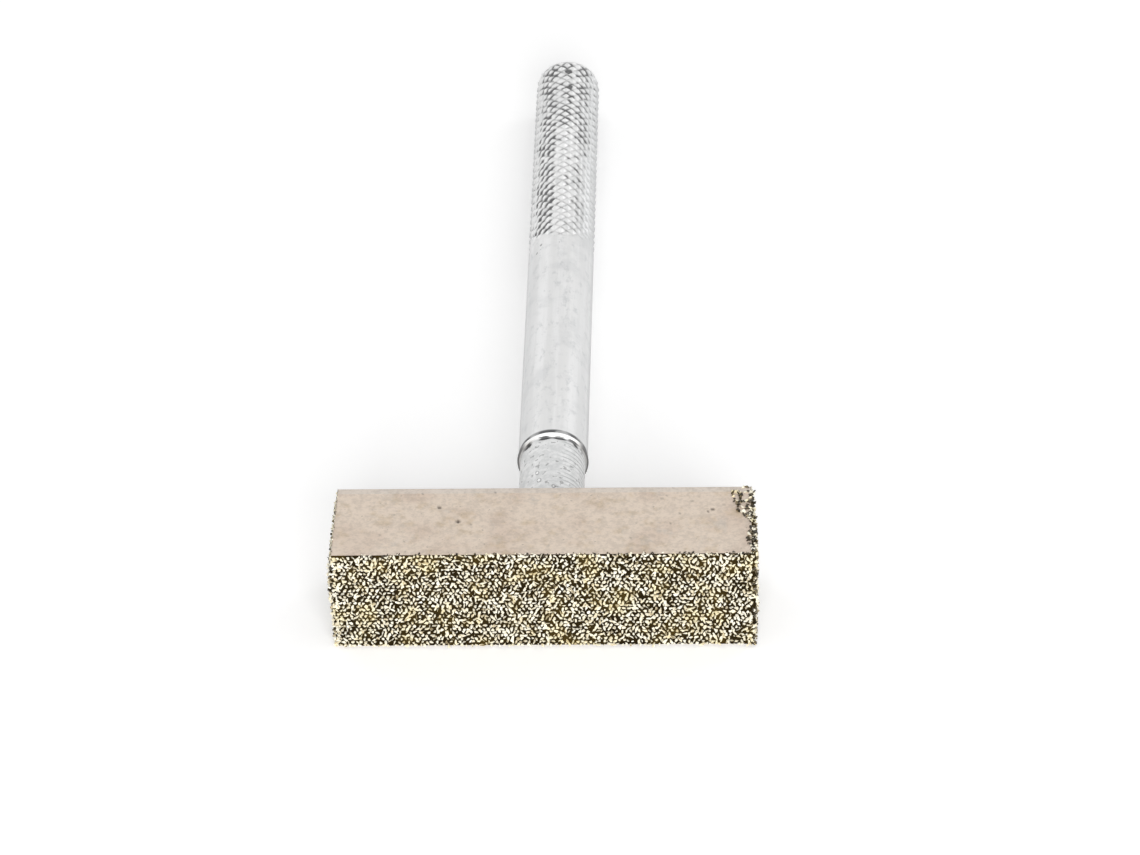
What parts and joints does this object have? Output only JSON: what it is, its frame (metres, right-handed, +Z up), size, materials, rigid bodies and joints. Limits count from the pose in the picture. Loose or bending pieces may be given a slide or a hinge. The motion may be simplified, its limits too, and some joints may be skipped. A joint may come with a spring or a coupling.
{
  "type": "diamond wheel dresser",
  "caption": "Hand tool for dressing grinding wheels: a square steel bar coated with diamond grit on its front and ends, on a round steel handle with a knurled grip.",
  "frame": {"origin": "middle of the bar's underside", "axes": "+X along the bar, +Y out along the handle, +Z up from the underside"},
  "size_m": [0.0452, 0.1067, 0.012],
  "materials": {
    "plated_bar": "dull warm nickel plating",
    "diamond_grit": "coarse diamond grit held in nickel",
    "plated_handle": "satin silver plating, turned, with a diamond knurl"
  },
  "bodies": {
    "root": {"head_bar": "plated_bar", "diamond_grit": "diamond_grit", "handle": "plated_handle"}
  },
  "joints": []
}
